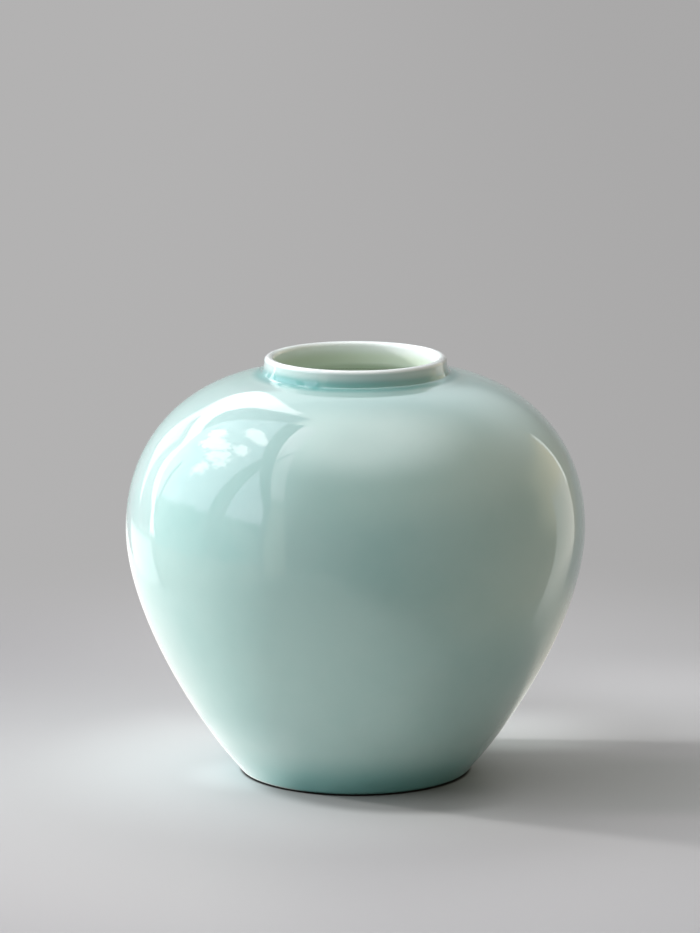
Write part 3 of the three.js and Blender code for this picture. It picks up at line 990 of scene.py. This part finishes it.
above_sill = step_at(rise, -9.0, -6.0)
bar_foot = step_at(rise, -11.0, -9.0)
pillar = both(past_pane, step_at(rise, 32.5, 33.5), step_at(rise, 66.0, 62.0))
pillar = without(pillar, past_pillar)
gap = without(both(past_gap_front, step_at(rise, 27.2, 26.2), above_sill), past_gap_back)
bays = both(past_pane, above_sill, step_at(rise, 58.0, 56.0))
bays = without(bays, past_bays, pillar, gap)
pane = both(step_at(inner_edge, EDGE_SOFT, -EDGE_SOFT), on_left, step_at(rise, -27.0, -24.0))
pane = without(pane, past_pane)
strip = both(
    step_at(outer_edge, -EDGE_SOFT, EDGE_SOFT), step_at(strip_edge, 0.02, -0.02),
    step_at(bearing, 140.0, 138.0), on_left,
)
frame_bar = without(both(step_at(inner_edge, -EDGE_SOFT, EDGE_SOFT), bar_foot, on_left), strip, past_pane)
frame_bar = both(frame_bar, step_at(outer_edge, EDGE_SOFT, -EDGE_SOFT))
wide_bar = both(pane, between(wall_back, -0.35, -0.15, EDGE_SOFT), bar_foot)
thin_bar = both(pane, between(bearing, 118.6, 120.8, 0.4), between(rise, -10.0, 24.0, 1.0))
strip_bar = both(strip, between(wall_back, -0.37, -0.33, 0.01))

# Bright patches near the top of the pane: soft round blots that run together, with ragged edges.
# Each blot is how far back and how high it lies on the flat wall, and its radius.
BLOTS = (
    (0.8, 1.11, 0.16), (0.6, 0.96, 0.18), (0.45, 1.02, 0.14), (0.23, 0.92, 0.13), (0.35, 0.84, 0.1),
    (0.27, 0.63, 0.1), (0.3, 0.55, 0.07), (0.14, 0.8, 0.09), (0.2, 1.23, 0.15),
    (0.61, 1.74, 0.22), (0.34, 1.73, 0.2), (0.53, 1.59, 0.1),
)
BLOT_JOIN = 0.1
BLOT_RAG = 0.45
BLOT_TONE = (6.7, 6.5, 6.6)

wall_place = add_node(round_about, "ShaderNodeCombineXYZ", X=wall_back, Y=wall_up).outputs[0]
blot_edge = None
for blot_back, blot_up, blot_radius in BLOTS:
    blot_from = add_node(
        round_about, "ShaderNodeVectorMath", {"operation": "DISTANCE"},
        i0=wall_place, i1=(blot_back, blot_up, 0),
    )
    outside = reckon(round_about, "SUBTRACT", blot_from.outputs["Value"], blot_radius)
    if blot_edge is None:
        blot_edge = outside
    else:
        blot_edge = reckon(round_about, "SMOOTH_MIN", blot_edge, outside, BLOT_JOIN)
rag = add_node(
    round_about, "ShaderNodeTexNoise",
    Vector=wall_place, Scale=15.0, Detail=5.0, Roughness=0.72,
)
ragged_edge = reckon(round_about, "MULTIPLY_ADD", rag.outputs["Fac"], BLOT_RAG, -BLOT_RAG / 2)
ragged_edge = reckon(round_about, "ADD", blot_edge, ragged_edge)
blots = step_at(ragged_edge, -0.005, -0.035)

# Tones of the pane: clear above, hazy with height, and dim below an uneven line
DIM_LINE_HEIGHT = 0.14
DIM_LINE_SLOPE = -0.14
DIM_LINE_RAG = 0.16

haze_noise = add_node(
    round_about, "ShaderNodeTexNoise",
    Vector=wall_place, Scale=3.2, Detail=4.0, Roughness=0.55,
)
haze = haze_noise.outputs["Fac"]
line_noise = add_node(
    round_about, "ShaderNodeTexNoise", {"noise_dimensions": "1D"},
    W=wall_back, Scale=9.0, Detail=5.0,
)
line_rag = reckon(round_about, "MULTIPLY", line_noise.outputs["Fac"], DIM_LINE_RAG)
dim_line = reckon(round_about, "MULTIPLY_ADD", wall_back, DIM_LINE_SLOPE, DIM_LINE_HEIGHT)
dim_line = reckon(round_about, "ADD", dim_line, line_rag)
above_line = step_at(reckon(round_about, "SUBTRACT", wall_up, dim_line), -0.03, 0.03)
clear_tone = over(step_at(wall_up, 0.5, 1.1), (2.1, 2.15, 2.6), (1.85, 1.95, 2.3))
clear_tone = over(step_at(haze, 0.4, 0.7), clear_tone, (2.5, 2.6, 2.95))
dim_tone = over(step_at(haze, 0.35, 0.6), (0.1, 0.35, 0.4), (0.5, 0.7, 0.72))
dim_tone = over(step_at(rise, -9.5, -10.5), dim_tone, (0.9, 0.8, 0.75))
pane_tone = over(above_line, dim_tone, clear_tone)
pane_tone = over(blots, pane_tone, BLOT_TONE)
strip_tone = over(step_at(rise, 30.0, 36.0), (1.1, 1.05, 0.9), (2.6, 2.5, 2.5))
strip_tone = over(step_at(wall_up, 1.4, 2.6), strip_tone, (5.2, 4.7, 4.9))
bay_tone = over(step_at(bearing, 136.5, 137.5), (4.2, 4.0, 4.1), (2.3, 2.0, 2.1))
bay_tone = over(step_at(rise, 24.0, 30.0), bay_tone, (4.8, 4.6, 4.75))

# The dim panel on the right, with a bright line down its far edge
right_glow = both(between(bearing, -141.0, -90.0, 1.5), between(rise, -4.0, 22.0, 6.0))
right_glow = both(right_glow, step_at(bearing, -96.0, -118.0))
right_panel = both(between(bearing, -141.0, -119.0, 0.6), between(rise, -30.0, 6.0, 4.0))
right_line = both(between(bearing, -142.6, -140.4, 0.3), between(rise, 2.0, 21.0, 2.0))

# All that the glaze mirrors, laid over the plain sides one after another
low_left_back = both(step_at(bearing, 118.0, 128.0), step_at(rise, 30.0, 24.0))
straight_back = both(step_at(to_back, 0.9, 0.97), step_at(rise, 32.0, 18.0))
bars = either(frame_bar, wide_bar, thin_bar, strip_bar)
sill = both(between(bearing, 122.5, 152.0, 1.0), between(rise, -22.0, -9.5, 1.2))
mirrored = plain_sides
for panel, panel_tone in (
    (low_left_back, (0.55, 0.4, 0.45)),
    (straight_back, (0.44, 0.44, 0.44)),
    (strip, strip_tone),
    (pane, pane_tone),
    (bars, (0.3, 0.35, 0.4)),
    (sill, (1.75, 1.7, 1.7)),
    (bays, bay_tone),
    (gap, (0.7, 0.4, 0.5)),
    (pillar, (0.6, 0.55, 0.7)),
    (right_glow, (1.75, 1.5, 1.1)),
    (right_panel, (1.65, 1.55, 1.4)),
    (right_line, (2.5, 2.5, 2.35)),
):
    mirrored = over(panel, mirrored, panel_tone)

rays = round_about.nodes.new("ShaderNodeLightPath")
shed_light = over(rays.outputs["Is Glossy Ray"], soft_light, mirrored)
shown = over(rays.outputs["Is Camera Ray"], shed_light, SHOWN_TONE)
round_about.links.new(shown, round_about.nodes["Background"].inputs["Color"])


# Camera: the photograph's own height, angle and framing. It stands in front of the vase and
# looks down on it a little, through a long lens.
CAMERA_PLACE = (0, -2.2316, 0.5851)
CAMERA_DIP = 11.115
CAMERA_TURN = 0.068
LENS = 185.21
SENSOR = 36
FARTHEST_SEEN = 50

bpy.ops.object.camera_add(location=CAMERA_PLACE)
camera = bpy.context.object
camera.rotation_euler = (math.radians(90 - CAMERA_DIP), 0, math.radians(CAMERA_TURN))
camera.data.lens = LENS
camera.data.sensor_width = SENSOR
camera.data.clip_end = FARTHEST_SEEN
bpy.context.scene.camera = camera
bpy.context.scene.view_settings.view_transform = "Standard"
